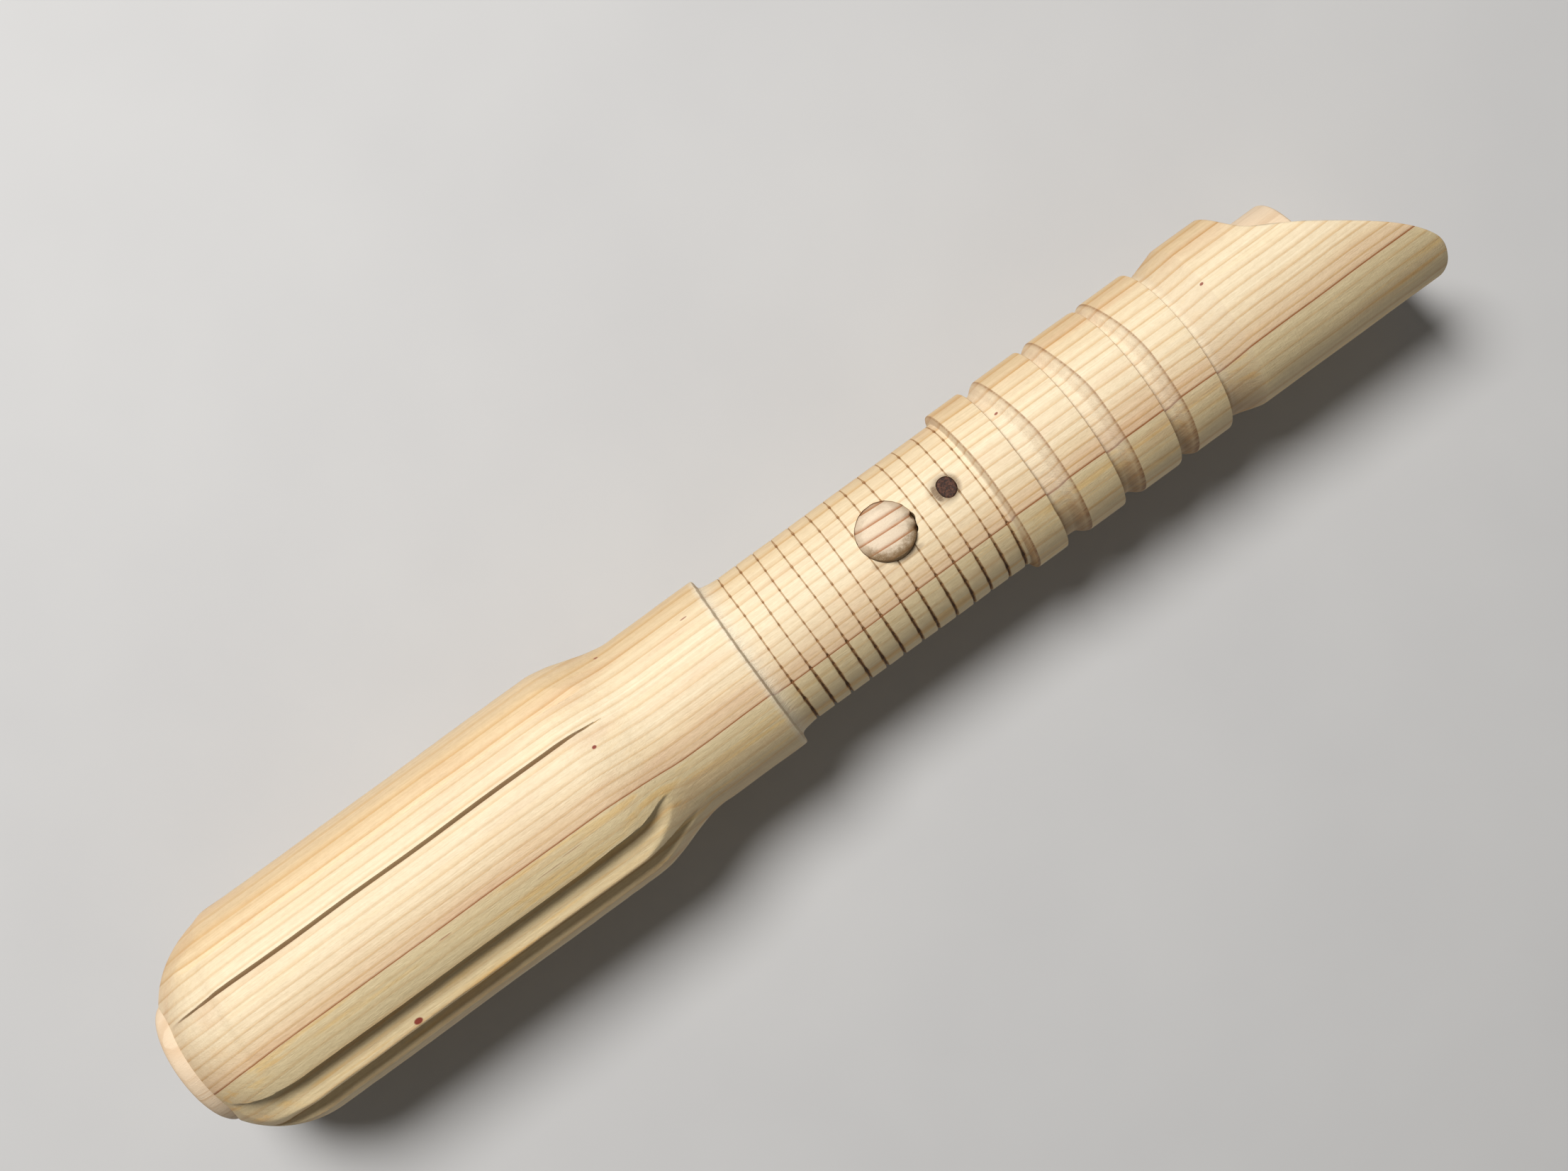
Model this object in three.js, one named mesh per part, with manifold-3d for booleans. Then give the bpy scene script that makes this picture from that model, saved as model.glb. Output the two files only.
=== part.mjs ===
// A hand-turned wooden handle, in millimetres, +Z up.
// It lies on its side. Its axis runs along X, from the rounded butt at low X to the slanted mouth at high X.
// The origin is at the middle of the bounding box's bottom, below the middle of the axis.
// Four pieces: the turned body, a core dowel through it, a domed button peg and a small dark pin.

import * as THREE from 'three';
import { mergeVertices } from 'three/addons/utils/BufferGeometryUtils.js';
import Module from 'manifold-3d';

const wasm = await Module();
wasm.setup();

// Driving dimensions. Places along the axis are distances from the butt face of the core dowel.
const TOTAL_LENGTH = 289.9;
const GRIP_RADIUS = 23.5;
const COLLAR_RADIUS = 19.6;
const WAIST_RADIUS = 16.9;
const RING_RADIUS = 18.6;
const MOUTH_RADIUS = 18.8;
const DOME_CENTRE = 20.4;
const DOME_REACH = 22.4; // the dome's radius along the axis
const BUTT_RIM = 0.5; // the flat ring at the butt, around the core's hole
const OGEE_START = 95.5; // the S-curve between the grip and the collar
const OGEE_END = 114.0;
const SHOULDER = 134.0;
const SHOULDER_SLOPE = 0.8; // how far the shoulder slopes along the axis
const SHOULDER_FILLET = 0.4; // left above the waist at its foot
const FLARE_START = 240.0;
const FLARE_END = 246.3;

const GROOVE_COUNT = 13; // narrow V-grooves around the waist
const FIRST_GROOVE = 138.5;
const GROOVE_PITCH = 4.23;
const GROOVE_WIDTH = 0.8;
const GROOVE_DEPTH = 0.6;
const RINGS = [ // start and end of each raised ring
  [190.7, 198.1],
  [203.2, 212.0],
  [216.2, 225.6],
  [229.2, 237.9],
];
const RING_FLANK = 2.2; // how far each ring's butt-side flank slopes along the axis
const RING_CHAMFER = 0.3; // on the other side

const CORE_RADIUS = 14.0;
const CORE_LENGTH = 268.4;
const CORE_CHAMFER = 1.0;
const GAP = 0.3; // between a piece and the hole that it sits in
const BORE_RADIUS = CORE_RADIUS + GAP;
// The domed butt is cut off flat where its radius is the bore's and the rim's together.
const BODY_START = DOME_CENTRE - DOME_REACH * Math.sqrt(1 - ((BORE_RADIUS + BUTT_RIM) / GRIP_RADIUS) ** 2);

const PEG_ANGLE = 17.5; // degrees from straight up, towards +Y
const BUTTON_PLACE = 169.5;
const BUTTON_RADIUS = 6.0;
const BUTTON_FOOT = 8.0; // distance of the peg's inner end from the axis
const BUTTON_RIM = 17.4; // where its dome starts
const BUTTON_SHOULDER = 18.3; // where the dome flattens
const BUTTON_TOP = 18.8;
const PIN_PLACE = 183.8;
const PIN_RADIUS = 2.0;
const PIN_FOOT = 10.0;
const PIN_TOP = 16.5;

// The mouth is cut along an S-shaped line. LEAN is measured across the cut, from its low side at -18.8.
const MOUTH_TURN = 102; // degrees from straight up to the cut's tip, towards -Y
const MOUTH_CUT = [ // lean across the axis, place along it
  [-18.8, 256.4],
  [-14.5, 259.6],
  [-9.3, 268.5],
  [0.2, 281.4],
  [7.7, 288.2],
  [13.6, 289.8],
  [18.8, 289.7],
];

// Carved flutes along the grip: angle from straight up towards -Y, width at the surface, depth.
const FLUTES = [
  { angle: -22.5, width: 1.8, depth: 2.5 },
  { angle: -50.5, width: 7.4, depth: 1.9 },
  { angle: 43.6, width: 7.2, depth: 2.8 },
  { angle: 62, width: 7.0, depth: 2.9 },
  { angle: 128, width: 7.4, depth: 1.9 },
  { angle: 158, width: 1.8, depth: 2.5 },
  { angle: -112, width: 7.0, depth: 2.9 },
  { angle: -142, width: 7.2, depth: 2.8 },
];
const FLUTE_START = 2.5;
const FLUTE_END = 112.0;
const FLUTE_FLOOR = 0.6; // half the width of a wide flute's flat floor
const CUTTER_RISE = 4; // how far the cutters stand out beyond what they cut

const SIDES = 44; // facets around the body
const SMALL_SIDES = 28; // facets around the dowels

const radians = (degrees) => degrees * Math.PI / 180;
const axisX = (place) => place - TOTAL_LENGTH / 2;

// Turns a profile of [place along the axis, radius] pairs about the X axis.
function turned(profile, sides) {
  const points = profile.map(([place, radius]) => new THREE.Vector2(radius, place));
  const geometry = new THREE.LatheGeometry(points, sides);
  geometry.rotateZ(-Math.PI / 2);
  return geometry;
}

// A round peg that stands out from the axis at PEG_ANGLE.
// Its profile is [distance from the axis, radius] pairs.
function crossPeg(profile, place) {
  const geometry = turned(profile, SMALL_SIDES);
  geometry.rotateY(-Math.PI / 2);
  geometry.rotateX(radians(-PEG_ANGLE));
  geometry.translate(place, 0, 0);
  return geometry;
}

function solidOf(geometry) {
  const bare = geometry.clone();
  bare.deleteAttribute('normal');
  bare.deleteAttribute('uv');
  const merged = mergeVertices(bare, 1e-4);
  return new wasm.Manifold(new wasm.Mesh({
    numProp: 3,
    vertProperties: new Float32Array(merged.attributes.position.array),
    triVerts: new Uint32Array(merged.index.array),
  }));
}

function geometryOf(solid) {
  const mesh = solid.getMesh();
  const geometry = new THREE.BufferGeometry();
  geometry.setAttribute('position', new THREE.BufferAttribute(mesh.vertProperties, 3));
  geometry.setIndex(new THREE.BufferAttribute(mesh.triVerts, 1));
  geometry.computeVertexNormals();
  return geometry;
}

// The half-round butt, from the core dowel's hole out to the full grip.
function domeProfile(steps) {
  const points = [];
  for (let i = 0; i <= steps; i += 1) {
    const place = BODY_START + (DOME_CENTRE - BODY_START) * Math.sin((i / steps) * Math.PI / 2);
    const fromCentre = (DOME_CENTRE - place) / DOME_REACH;
    points.push([place, GRIP_RADIUS * Math.sqrt(1 - fromCentre * fromCentre)]);
  }
  return points;
}

// The S-curve from the grip down to the collar.
function ogeeProfile(steps) {
  const points = [];
  for (let i = 0; i <= steps; i += 1) {
    const t = i / steps;
    const ease = t * t * (3 - 2 * t);
    const radius = GRIP_RADIUS + (COLLAR_RADIUS - GRIP_RADIUS) * ease;
    points.push([OGEE_START + (OGEE_END - OGEE_START) * t, radius]);
  }
  return points;
}

function waistProfile() {
  const points = [[SHOULDER, COLLAR_RADIUS], [SHOULDER + SHOULDER_SLOPE, WAIST_RADIUS + SHOULDER_FILLET]];
  for (let i = 0; i < GROOVE_COUNT; i += 1) {
    const middle = FIRST_GROOVE + i * GROOVE_PITCH;
    points.push([middle - GROOVE_WIDTH / 2, WAIST_RADIUS]);
    points.push([middle, WAIST_RADIUS - GROOVE_DEPTH]);
    points.push([middle + GROOVE_WIDTH / 2, WAIST_RADIUS]);
  }
  return points;
}

// The first ring stands close to the last groove, so its flank is shorter.
function ringProfile([start, end]) {
  const lastGroove = FIRST_GROOVE + (GROOVE_COUNT - 1) * GROOVE_PITCH;
  const room = start - lastGroove - GROOVE_WIDTH;
  return [
    [start - Math.min(RING_FLANK, room), WAIST_RADIUS],
    [start, RING_RADIUS],
    [end - RING_CHAMFER, RING_RADIUS],
    [end, WAIST_RADIUS],
  ];
}

function bodySolid() {
  const outline = [
    [BODY_START, BORE_RADIUS],
    ...domeProfile(8),
    ...ogeeProfile(8),
    ...waistProfile(),
    ...RINGS.flatMap(ringProfile),
    [FLARE_START, WAIST_RADIUS],
    [FLARE_END, MOUTH_RADIUS],
    [TOTAL_LENGTH, MOUTH_RADIUS],
    [TOTAL_LENGTH, BORE_RADIUS],
    [BODY_START, BORE_RADIUS],
  ];
  return solidOf(turned(outline, SIDES));
}

// The block that is cut away beyond the mouth's S-shaped line.
function mouthCutter() {
  const past = TOTAL_LENGTH + CUTTER_RISE;
  const reach = MOUTH_RADIUS + CUTTER_RISE;
  const line = new THREE.SplineCurve(MOUTH_CUT.map(([lean, place]) => new THREE.Vector2(place, lean)));
  const shape = new THREE.Shape();
  shape.moveTo(past, -reach);
  shape.lineTo(MOUTH_CUT[0][1], -reach);
  for (const point of line.getPoints(20)) {
    shape.lineTo(point.x, point.y);
  }
  shape.lineTo(MOUTH_CUT.at(-1)[1], reach);
  shape.lineTo(past, reach);
  shape.closePath();
  const geometry = new THREE.ExtrudeGeometry(shape, { depth: 2 * reach, bevelEnabled: false });
  geometry.translate(0, 0, -reach);
  // The lean runs along +Y so far. It turns to point MOUTH_TURN from straight up, towards -Y.
  geometry.rotateX(radians(90 + MOUTH_TURN));
  return solidOf(geometry);
}

// A flute's cutter: a straight bar along the grip with a blunt V section that points at the axis.
function fluteCutter({ angle, width, depth }) {
  const half = width / 2;
  const floor = Math.min(half / 2, FLUTE_FLOOR);
  const spread = half + (half - floor) * CUTTER_RISE / depth;
  const section = new THREE.Shape();
  section.moveTo(-floor, GRIP_RADIUS - depth);
  section.lineTo(floor, GRIP_RADIUS - depth);
  section.lineTo(spread, GRIP_RADIUS + CUTTER_RISE);
  section.lineTo(-spread, GRIP_RADIUS + CUTTER_RISE);
  section.closePath();
  const length = FLUTE_END - FLUTE_START;
  const geometry = new THREE.ExtrudeGeometry(section, { depth: length, bevelEnabled: false });
  // The extrusion runs along +Z and the section's height along +Y: they go to +X and +Z.
  geometry.rotateY(Math.PI / 2);
  geometry.rotateX(Math.PI / 2);
  geometry.rotateX(radians(angle));
  geometry.translate(FLUTE_START, 0, 0);
  return solidOf(geometry);
}

function holeCutter(place, foot, radius) {
  const out = GRIP_RADIUS + CUTTER_RISE;
  const profile = [[foot - GAP, 0], [foot - GAP, radius + GAP], [out, radius + GAP], [out, 0]];
  return solidOf(crossPeg(profile, place));
}

const buttonHole = holeCutter(BUTTON_PLACE, BUTTON_FOOT, BUTTON_RADIUS);
const pinHole = holeCutter(PIN_PLACE, PIN_FOOT, PIN_RADIUS);

function turnedBody() {
  let solid = bodySolid().subtract(mouthCutter());
  for (const flute of FLUTES) {
    solid = solid.subtract(fluteCutter(flute));
  }
  return geometryOf(solid.subtract(buttonHole).subtract(pinHole));
}

function coreDowel() {
  const profile = [
    [0, 0],
    [0, CORE_RADIUS - CORE_CHAMFER],
    [CORE_CHAMFER, CORE_RADIUS],
    [CORE_LENGTH - CORE_CHAMFER, CORE_RADIUS],
    [CORE_LENGTH, CORE_RADIUS - CORE_CHAMFER],
    [CORE_LENGTH, 0],
  ];
  const solid = solidOf(turned(profile, SIDES));
  return geometryOf(solid.subtract(buttonHole).subtract(pinHole));
}

function buttonPeg() {
  return crossPeg([
    [BUTTON_FOOT, 0],
    [BUTTON_FOOT, BUTTON_RADIUS],
    [BUTTON_RIM, BUTTON_RADIUS],
    [BUTTON_SHOULDER, 0.85 * BUTTON_RADIUS],
    [BUTTON_TOP - 0.1, 0.55 * BUTTON_RADIUS],
    [BUTTON_TOP, 0],
  ], BUTTON_PLACE);
}

function darkPin() {
  return crossPeg([
    [PIN_FOOT, 0],
    [PIN_FOOT, PIN_RADIUS],
    [PIN_TOP, PIN_RADIUS],
    [PIN_TOP, 0],
  ], PIN_PLACE);
}

const paleWood = { color: 0xe0bd8e, roughness: 0.7, metalness: 0 };
const endGrainWood = { color: 0xcfa878, roughness: 0.75, metalness: 0 };
const darkWood = { color: 0x4a2c1c, roughness: 0.8, metalness: 0 };

const handle = new THREE.Group();
const pieces = [
  ['turned_body', turnedBody(), paleWood],
  ['core_dowel', coreDowel(), endGrainWood],
  ['button_peg', buttonPeg(), endGrainWood],
  ['dark_pin', darkPin(), darkWood],
];
for (const [name, geometry, look] of pieces) {
  const mesh = new THREE.Mesh(geometry, new THREE.MeshStandardMaterial(look));
  mesh.name = name;
  handle.add(mesh);
}
handle.position.set(axisX(0), 0, GRIP_RADIUS);

export default handle;
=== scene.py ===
"""The looks of a hand-turned pine handle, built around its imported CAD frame.

The handle lies along X. A "place" is a distance along its axis from the butt face of the core dowel, a
"radius" is a distance from that axis, and an "angle" is measured around it from straight up towards -Y.
Lengths are in millimetres. The angles named below are in degrees, and the functions work in radians.
Meshes that reach Blender are in metres, in the frame that the CAD was packed in.
"""

import math
from math import radians

import bpy
import numpy as np
from mathutils import Matrix, Vector


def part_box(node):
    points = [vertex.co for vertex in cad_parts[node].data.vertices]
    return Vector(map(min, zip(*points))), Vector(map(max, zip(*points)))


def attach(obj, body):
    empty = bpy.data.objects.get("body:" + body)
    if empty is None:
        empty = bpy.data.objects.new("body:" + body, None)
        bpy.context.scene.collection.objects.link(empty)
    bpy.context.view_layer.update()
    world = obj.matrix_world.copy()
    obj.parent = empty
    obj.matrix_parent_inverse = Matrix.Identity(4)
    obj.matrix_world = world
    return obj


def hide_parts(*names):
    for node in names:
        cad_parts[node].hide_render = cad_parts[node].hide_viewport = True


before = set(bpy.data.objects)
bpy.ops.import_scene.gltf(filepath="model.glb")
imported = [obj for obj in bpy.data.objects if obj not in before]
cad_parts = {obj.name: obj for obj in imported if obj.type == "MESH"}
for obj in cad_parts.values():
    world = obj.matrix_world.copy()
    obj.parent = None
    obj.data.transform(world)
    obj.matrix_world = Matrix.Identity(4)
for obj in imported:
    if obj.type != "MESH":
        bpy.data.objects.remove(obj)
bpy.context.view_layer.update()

MM = 0.001
core_low, core_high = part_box("core_dowel")
BUTT_X = core_low.x / MM
CORE_LENGTH = (core_high.x - core_low.x) / MM
AXIS_Z = (core_low.z + core_high.z) / 2 / MM

# Driving sizes of the turned body.
GRIP_RADIUS = 23.45
COLLAR_RADIUS = 19.6
WAIST_RADIUS = 16.9
RING_RADIUS = 18.6
MOUTH_RADIUS = 18.8
CORE_RADIUS = 13.97
BORE_RADIUS = 14.06
DOME_INNER = BORE_RADIUS + 0.16  # where the body's domed butt begins around the core
FLUTE_INNER = BORE_RADIUS + 0.15  # how near to the bore the flutes may come
BUTT_CROWN = 110.0  # the radius of the core dowel's domed end
BUTT_ROUNDING = 0.116  # half the angle that this dome spans, in radians
BUTT_RIM = [(0.92, 0.78), (1.25, 0.44), (1.85, 0.18), (2.8, 0.04), (4.0, 0.0)]  # place, depth below the side
CORE_EDGE = 0.6  # the rounding of its other end
DOME_CENTRE = 20.1  # the body's domed butt
DOME_FOLLOW = 0.3  # how much of the dome's fall the flutes follow
UPPER_DOME_FOLLOW = 0.66  # the same for the flutes that run on nearest to the core
DOME_FULL_WIDTH = 0.85  # flutes run straight on to this share of the dome's radius, then bend round
DOME_BEND = 0.14
DOME_STRAIGHT = 0.85  # how far the flutes' edges leave the dome's own meridians
DOME_CUT_BACK = 2.65  # how far the dome's upper side is cut back around the core
GRIP_START = 24.0
OGEE_START = 95.5  # the S-curve from the grip down to the collar
OGEE_END = 114.0
SHOULDER = 134.0
GROOVES = 13
FIRST_GROOVE = 138.5
GROOVE_PITCH = 4.23
GROOVE_DEPTH = 0.62
GROOVE_SIDE = [(0.12, 0.96), (0.55, 0.55), (1.0, 0.08), (1.35, 0.0), (3.0, 0.0)]
# A groove's section: distance from its middle and depth, as shares.
GROOVE_STEPS = [(-offset, deep) for offset, deep in reversed(GROOVE_SIDE)] + GROOVE_SIDE
# The shoulder down from the collar: offset from its edge, radius, and how torn the wood is.
SHOULDER_STEPS = [
    (-0.9, 19.6, 0.2), (-0.35, 19.58, 0.5), (-0.1, 19.48, 0.9), (0.05, 19.2, 1.0), (0.12, 18.5, 1.0),
    (0.2, 18.0, 1.0), (0.34, 17.62, 1.0), (0.75, 17.4, 0.8), (1.5, 17.22, 0.5), (2.6, 17.05, 0.2),
]
RING_FLANK = 2.6  # how far each ring's butt side slopes along the axis
RING_EDGE_SHIFT = 0.35  # how far each ring's edge stands towards the mouth, apart from its high side
RINGS = [(190.7, 198.1), (203.2, 212.0), (216.2, 225.6), (229.2, 237.9)]
FLARE_START = 240.0
FLARE_END = 246.3
MOUTH_TURN = 102.0  # the angle of the cut's tip
MOUTH_CUT = [  # lean across the axis, place along it
    (-18.8, 256.4), (-14.5, 259.6), (-9.3, 268.5), (0.2, 281.4), (7.7, 288.2), (13.6, 289.8), (18.8, 289.7),
]
HOLLOW_PLACE = 250.0  # the bore is seen from the mouth down to here

# The pegs stand out at one angle, so both share an axis direction.
PEG_ANGLE = -17.5
BUTTON_PLACE = 169.5
BUTTON_RADIUS = 5.95
BUTTON_FOOT = 8.0
BUTTON_RIM = 16.95
BUTTON_TOP = 19.0
BUTTON_NOTCHES = [(6.0, 0.5, 7.0), (31.0, 0.4, 6.0), (18.0, 0.1, 16.0)]  # direction, depth and half width
PIN_PLACE = 183.8
PIN_RADIUS = 1.88
PIN_FOOT = 10.0
PIN_TOP = 16.8
PIN_STRETCH = 0.38  # how much wider the pin is around the body than along it, at each side

# Carved flutes: the angle of each one's middle, then its section as (distance around the grip, depth) pairs.
NARROW_FLUTE = [
    (-0.3, 0.0), (-0.22, 0.9), (-0.08, 2.2), (0.06, 2.3), (0.24, 0.8), (0.42, 0.28), (1.0, 0.12), (2.2, 0.0),
]
LEFT_FLUTE = [
    (-3.9, 0.0), (-3.3, 0.12), (-1.6, 0.7), (0.6, 1.7), (1.9, 2.25), (2.7, 2.15), (3.25, 1.1), (3.6, 0.0),
]
RIGHT_FLUTE = [
    (-3.85, 0.0), (-3.7, 0.8), (-3.45, 2.1), (-2.8, 2.75), (-1.2, 2.6), (0.6, 2.0), (3.1, 0.35), (3.6, 0.0),
]
LOW_FLUTE = [
    (-3.5, 0.0), (-3.3, 1.0), (-2.9, 2.6), (-2.0, 3.3), (0.2, 3.1), (2.3, 1.3), (3.3, 0.15), (3.6, 0.0),
]
FLUTES = [
    (-22.5, NARROW_FLUTE),
    (-50.5, LEFT_FLUTE),
    (43.6, RIGHT_FLUTE),
    (62.0, LOW_FLUTE),
    (128.0, LEFT_FLUTE),
    (158.0, NARROW_FLUTE),
    (-112.0, LOW_FLUTE),
    (-142.0, RIGHT_FLUTE),
]
ROUNDED_EDGE = 34.2  # the wide panel's edge, in degrees, whose corners are rounded at both ends

# Growth rings of the pine: distance of each latewood line from the pith's own circle, and how dark it is.
PITH_DISTANCE = 70.0
BURR_PLACE = 105.0  # where the grain swirls on the S-curve
BURR_ANGLE = 32.0
GROWTH_LINES = [
    (-26.0, 0.4), (-23.2, 0.5), (-20.4, 0.45), (-17.3, 0.6), (-14.3, 0.66), (-11.2, 0.45), (-8.45, 0.4),
    (-6.05, 0.4), (-3.2, 0.35), (-0.6, 0.4), (2.0, 0.4), (3.95, 0.45), (6.05, 0.5), (7.9, 0.5), (9.2, 1.0),
    (11.1, 0.3), (13.2, 0.35), (15.6, 0.4), (17.7, 0.35), (19.9, 0.45), (22.3, 0.4), (24.6, 0.4),
    (27.0, 0.4),
]
# Earlywood: cream, pinker up to the strongest line and greener past it, orange far on the other side.
WOOD_TONES = [
    (-24.0, (0.74, 0.58, 0.38)), (-17.5, (0.71, 0.53, 0.31)), (-13.0, (0.80, 0.655, 0.44)),
    (-7.0, (0.85, 0.73, 0.525)), (1.0, (0.85, 0.72, 0.51)), (5.0, (0.82, 0.665, 0.45)),
    (9.0, (0.785, 0.575, 0.37)), (9.35, (0.75, 0.62, 0.385)), (15.0, (0.76, 0.62, 0.37)),
    (24.0, (0.80, 0.65, 0.41)),
]

# Resin specks and dark dashes: place, angle, radius there, length along the grain, width, darkness.
SPECKS = [
    (43.9, 50.8, 22.9, 1.9, 1.3, 1.0), (101.9, -11.8, 22.6, 1.2, 0.9, 1.0),
    (110.5, -65.8, 20.0, 1.0, 0.8, 0.8), (128.8, -46.8, 19.6, 1.6, 0.4, 0.7),
    (200.1, -39.7, 16.9, 0.9, 0.6, 0.9), (245.5, -24.6, 18.6, 0.9, 0.6, 0.9),
    (59.0, 18.7, 23.45, 3.0, 0.26, 0.55), (81.5, 22.9, 23.45, 7.4, 0.24, 0.4),
    (87.3, 21.1, 23.45, 5.0, 0.24, 0.4), (75.0, 150.0, 23.0, 1.4, 1.0, 0.9),
    (222.0, 160.0, 18.6, 1.2, 0.8, 0.8), (125.0, -150.0, 19.6, 2.4, 0.5, 0.7),
]

# Brown smears on the grooved length: place, angle, length, width, darkness.
SMEARS = [
    (181.5, -17.4, 1.5, 3.8, 1.0), (183.8, -17.5, 5.6, 5.6, 0.8), (183.0, -17.3, 6.8, 6.8, 0.35),
    (164.9, -2.5, 3.4, 2.2, 0.3), (170.5, 3.5, 7.0, 1.6, 0.5),
]


def ease(value):
    """A smooth step from 0 to 1."""
    value = np.clip(value, 0.0, 1.0)
    return value * value * (3 - 2 * value)


def apart(angle, other):
    """The turn from the other angle to this one, the shorter way round."""
    return (angle - other + math.pi) % (2 * math.pi) - math.pi


def ripple(place, angle, seed, length, turns, waves=12):
    """Repeatable smooth noise of about 1 in size. It closes on itself around the axis."""
    random = np.random.default_rng(seed)
    total = 0.0
    for _ in range(waves):
        along = random.uniform(0.5, 1.7) * random.choice([-1, 1]) * 2 * math.pi / length
        around = random.integers(0, turns + 1)
        phase = random.uniform(0, 2 * math.pi)
        total = total + np.sin(along * place + around * angle + phase)
    return total / math.sqrt(waves)


# ---- shape of the turned body


def columns(count):
    """Angles around the body, in radians, closer together near the flutes' edges."""
    fine = np.linspace(-math.pi, math.pi, 7201)
    density = np.ones_like(fine)
    for middle, section in FLUTES:
        for offset, _ in section:
            corner = radians(middle) + offset / GRIP_RADIUS
            density += 0.9 * np.exp(-((apart(fine, corner) / radians(1.3)) ** 2))
    share = np.cumsum(density)
    share = (share - share[0]) / (share[-1] - share[0])
    return np.interp(np.arange(count) / count, share, fine)


def flute_edges():
    """The angle of every flute edge, in radians, in order around the grip."""
    edges = []
    for middle, section in FLUTES:
        for offset in (section[0][0], section[-1][0]):
            edges.append(radians(middle) + offset / GRIP_RADIUS)
    return sorted(edges)


def straight_on(edge, narrowing):
    """The angle where a flute's edge lies if it runs nearly straight on while the dome narrows."""
    across = abs(math.sin(edge)) * narrowing
    if across > DOME_FULL_WIDTH:
        across = DOME_FULL_WIDTH + DOME_BEND * math.tanh((across - DOME_FULL_WIDTH) / DOME_BEND)
    turn = math.asin(across) if abs(edge) < math.pi / 2 else math.pi - math.asin(across)
    return (1 - DOME_STRAIGHT) * edge + DOME_STRAIGHT * math.copysign(turn, edge)


def carved_angle(place, column, narrowing=1.0):
    """Where each column of points lies at this place.

    The flutes waver a little and run straight on over the dome, and the rounded edge curls in at its ends.
    """
    edges = flute_edges()
    fade = 1 - ease((place - 108.0) / 10.0)
    moved = []
    for number, edge in enumerate(edges):
        shift = 0.0035 * float(ripple(place, 0.0, 40 + number // 2, 45.0, 0))
        if abs(edge - radians(ROUNDED_EDGE)) < 0.02:
            shift -= 0.08 * ease((6.0 - place) / 5.0)
            shift -= 0.02 * ease((place - 84.0) / 12.0) + 0.10 * ease((place - 100.0) / 9.0)
        else:
            shift += straight_on(edge, narrowing) - edge
        moved.append(edge + shift * fade)
    known = np.array([edges[-1] - 2 * math.pi, *edges, edges[0] + 2 * math.pi])
    put = np.array([moved[-1] - 2 * math.pi, *moved, moved[0] + 2 * math.pi])
    return np.interp(column, known, put)


def flute_depths(column, flutes=FLUTES):
    """How deep the flutes are cut at each column."""
    depth = np.zeros_like(column)
    for middle, section in flutes:
        offset = apart(column, radians(middle)) * GRIP_RADIUS
        offsets, depths = zip(*section)
        depth = np.maximum(depth, np.interp(offset, offsets, depths, left=0.0, right=0.0))
    return depth


def flutes_with(section):
    return [flute for flute in FLUTES if flute[1] is section]


def narrow_flute_shade(column):
    """Painted shade at the bottom of the narrow flutes, from 0 to 1, mixed in as brown."""
    line = np.zeros_like(column)
    for middle, _ in flutes_with(NARROW_FLUTE):
        offset = apart(column, radians(middle)) * GRIP_RADIUS
        crisp = 0.32 * ease((offset + 0.4) / 0.2) * (1 - ease((offset - 0.1) / 0.3))
        soft = 0.10 * ease((offset + 0.3) / 0.4) * (1 - ease((offset - 0.7) / 1.0))
        line = np.maximum(line, crisp + soft)
    return line


def growth_dark(place, angle, radius):
    """How dark the latewood is at a point of the body, from 0 to 1, much as pine_body() paints it."""
    from_pith = radius * np.sin(angle) + PITH_DISTANCE
    growth = np.hypot(from_pith, radius * np.cos(angle)) - PITH_DISTANCE + grain_wander(place, angle)
    distances, strengths = np.array(GROWTH_LINES).T
    count = np.interp(growth, distances, np.arange(len(distances)))
    phase = count - np.floor(count)
    strength = strengths[np.minimum(np.floor(count).astype(int) + 1, len(strengths) - 1)]
    return strength * ease((phase - 0.6) / 0.3) * (1 - ease((phase - 0.93) / 0.07))


def grain_wander(place, angle):
    """A slow wandering of the growth rings, in millimetres."""
    slow = 0.16 * ripple(place, angle, 71, 150.0, 2) + 0.05 * ripple(place, angle, 72, 32.0, 6)
    burr = np.exp(-(((place - BURR_PLACE) / 4.5) ** 2) - ((angle - radians(BURR_ANGLE)) / radians(9)) ** 2)
    return slow + 1.5 * burr


def dome_wander(place, angle, radius):
    """How far the growth rings bend on the dome, so that their lines run on nearly straight."""
    across = radius * np.sin(angle)
    height = radius * np.cos(angle)
    before_centre = np.clip(dome_centre(angle) - place, 0.0, GRIP_RADIUS)
    dome = np.sqrt(GRIP_RADIUS**2 - before_centre**2)
    full_height = np.sqrt(np.clip((radius + GRIP_RADIUS - dome) ** 2 - across**2, 0.0, None))
    from_pith = across + PITH_DISTANCE
    return 0.8 * (np.hypot(from_pith, full_height) - np.hypot(from_pith, height))


def dome_centre(angle):
    """The dome's centre. It moves along the axis on the side that is cut back."""
    return DOME_CENTRE + DOME_CUT_BACK * ease((np.cos(angle) - 0.05) / 0.8)


def ogee_radius(place):
    fall = ease((place - OGEE_START) / (OGEE_END - OGEE_START))
    return GRIP_RADIUS + (COLLAR_RADIUS - GRIP_RADIUS) * fall


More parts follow.
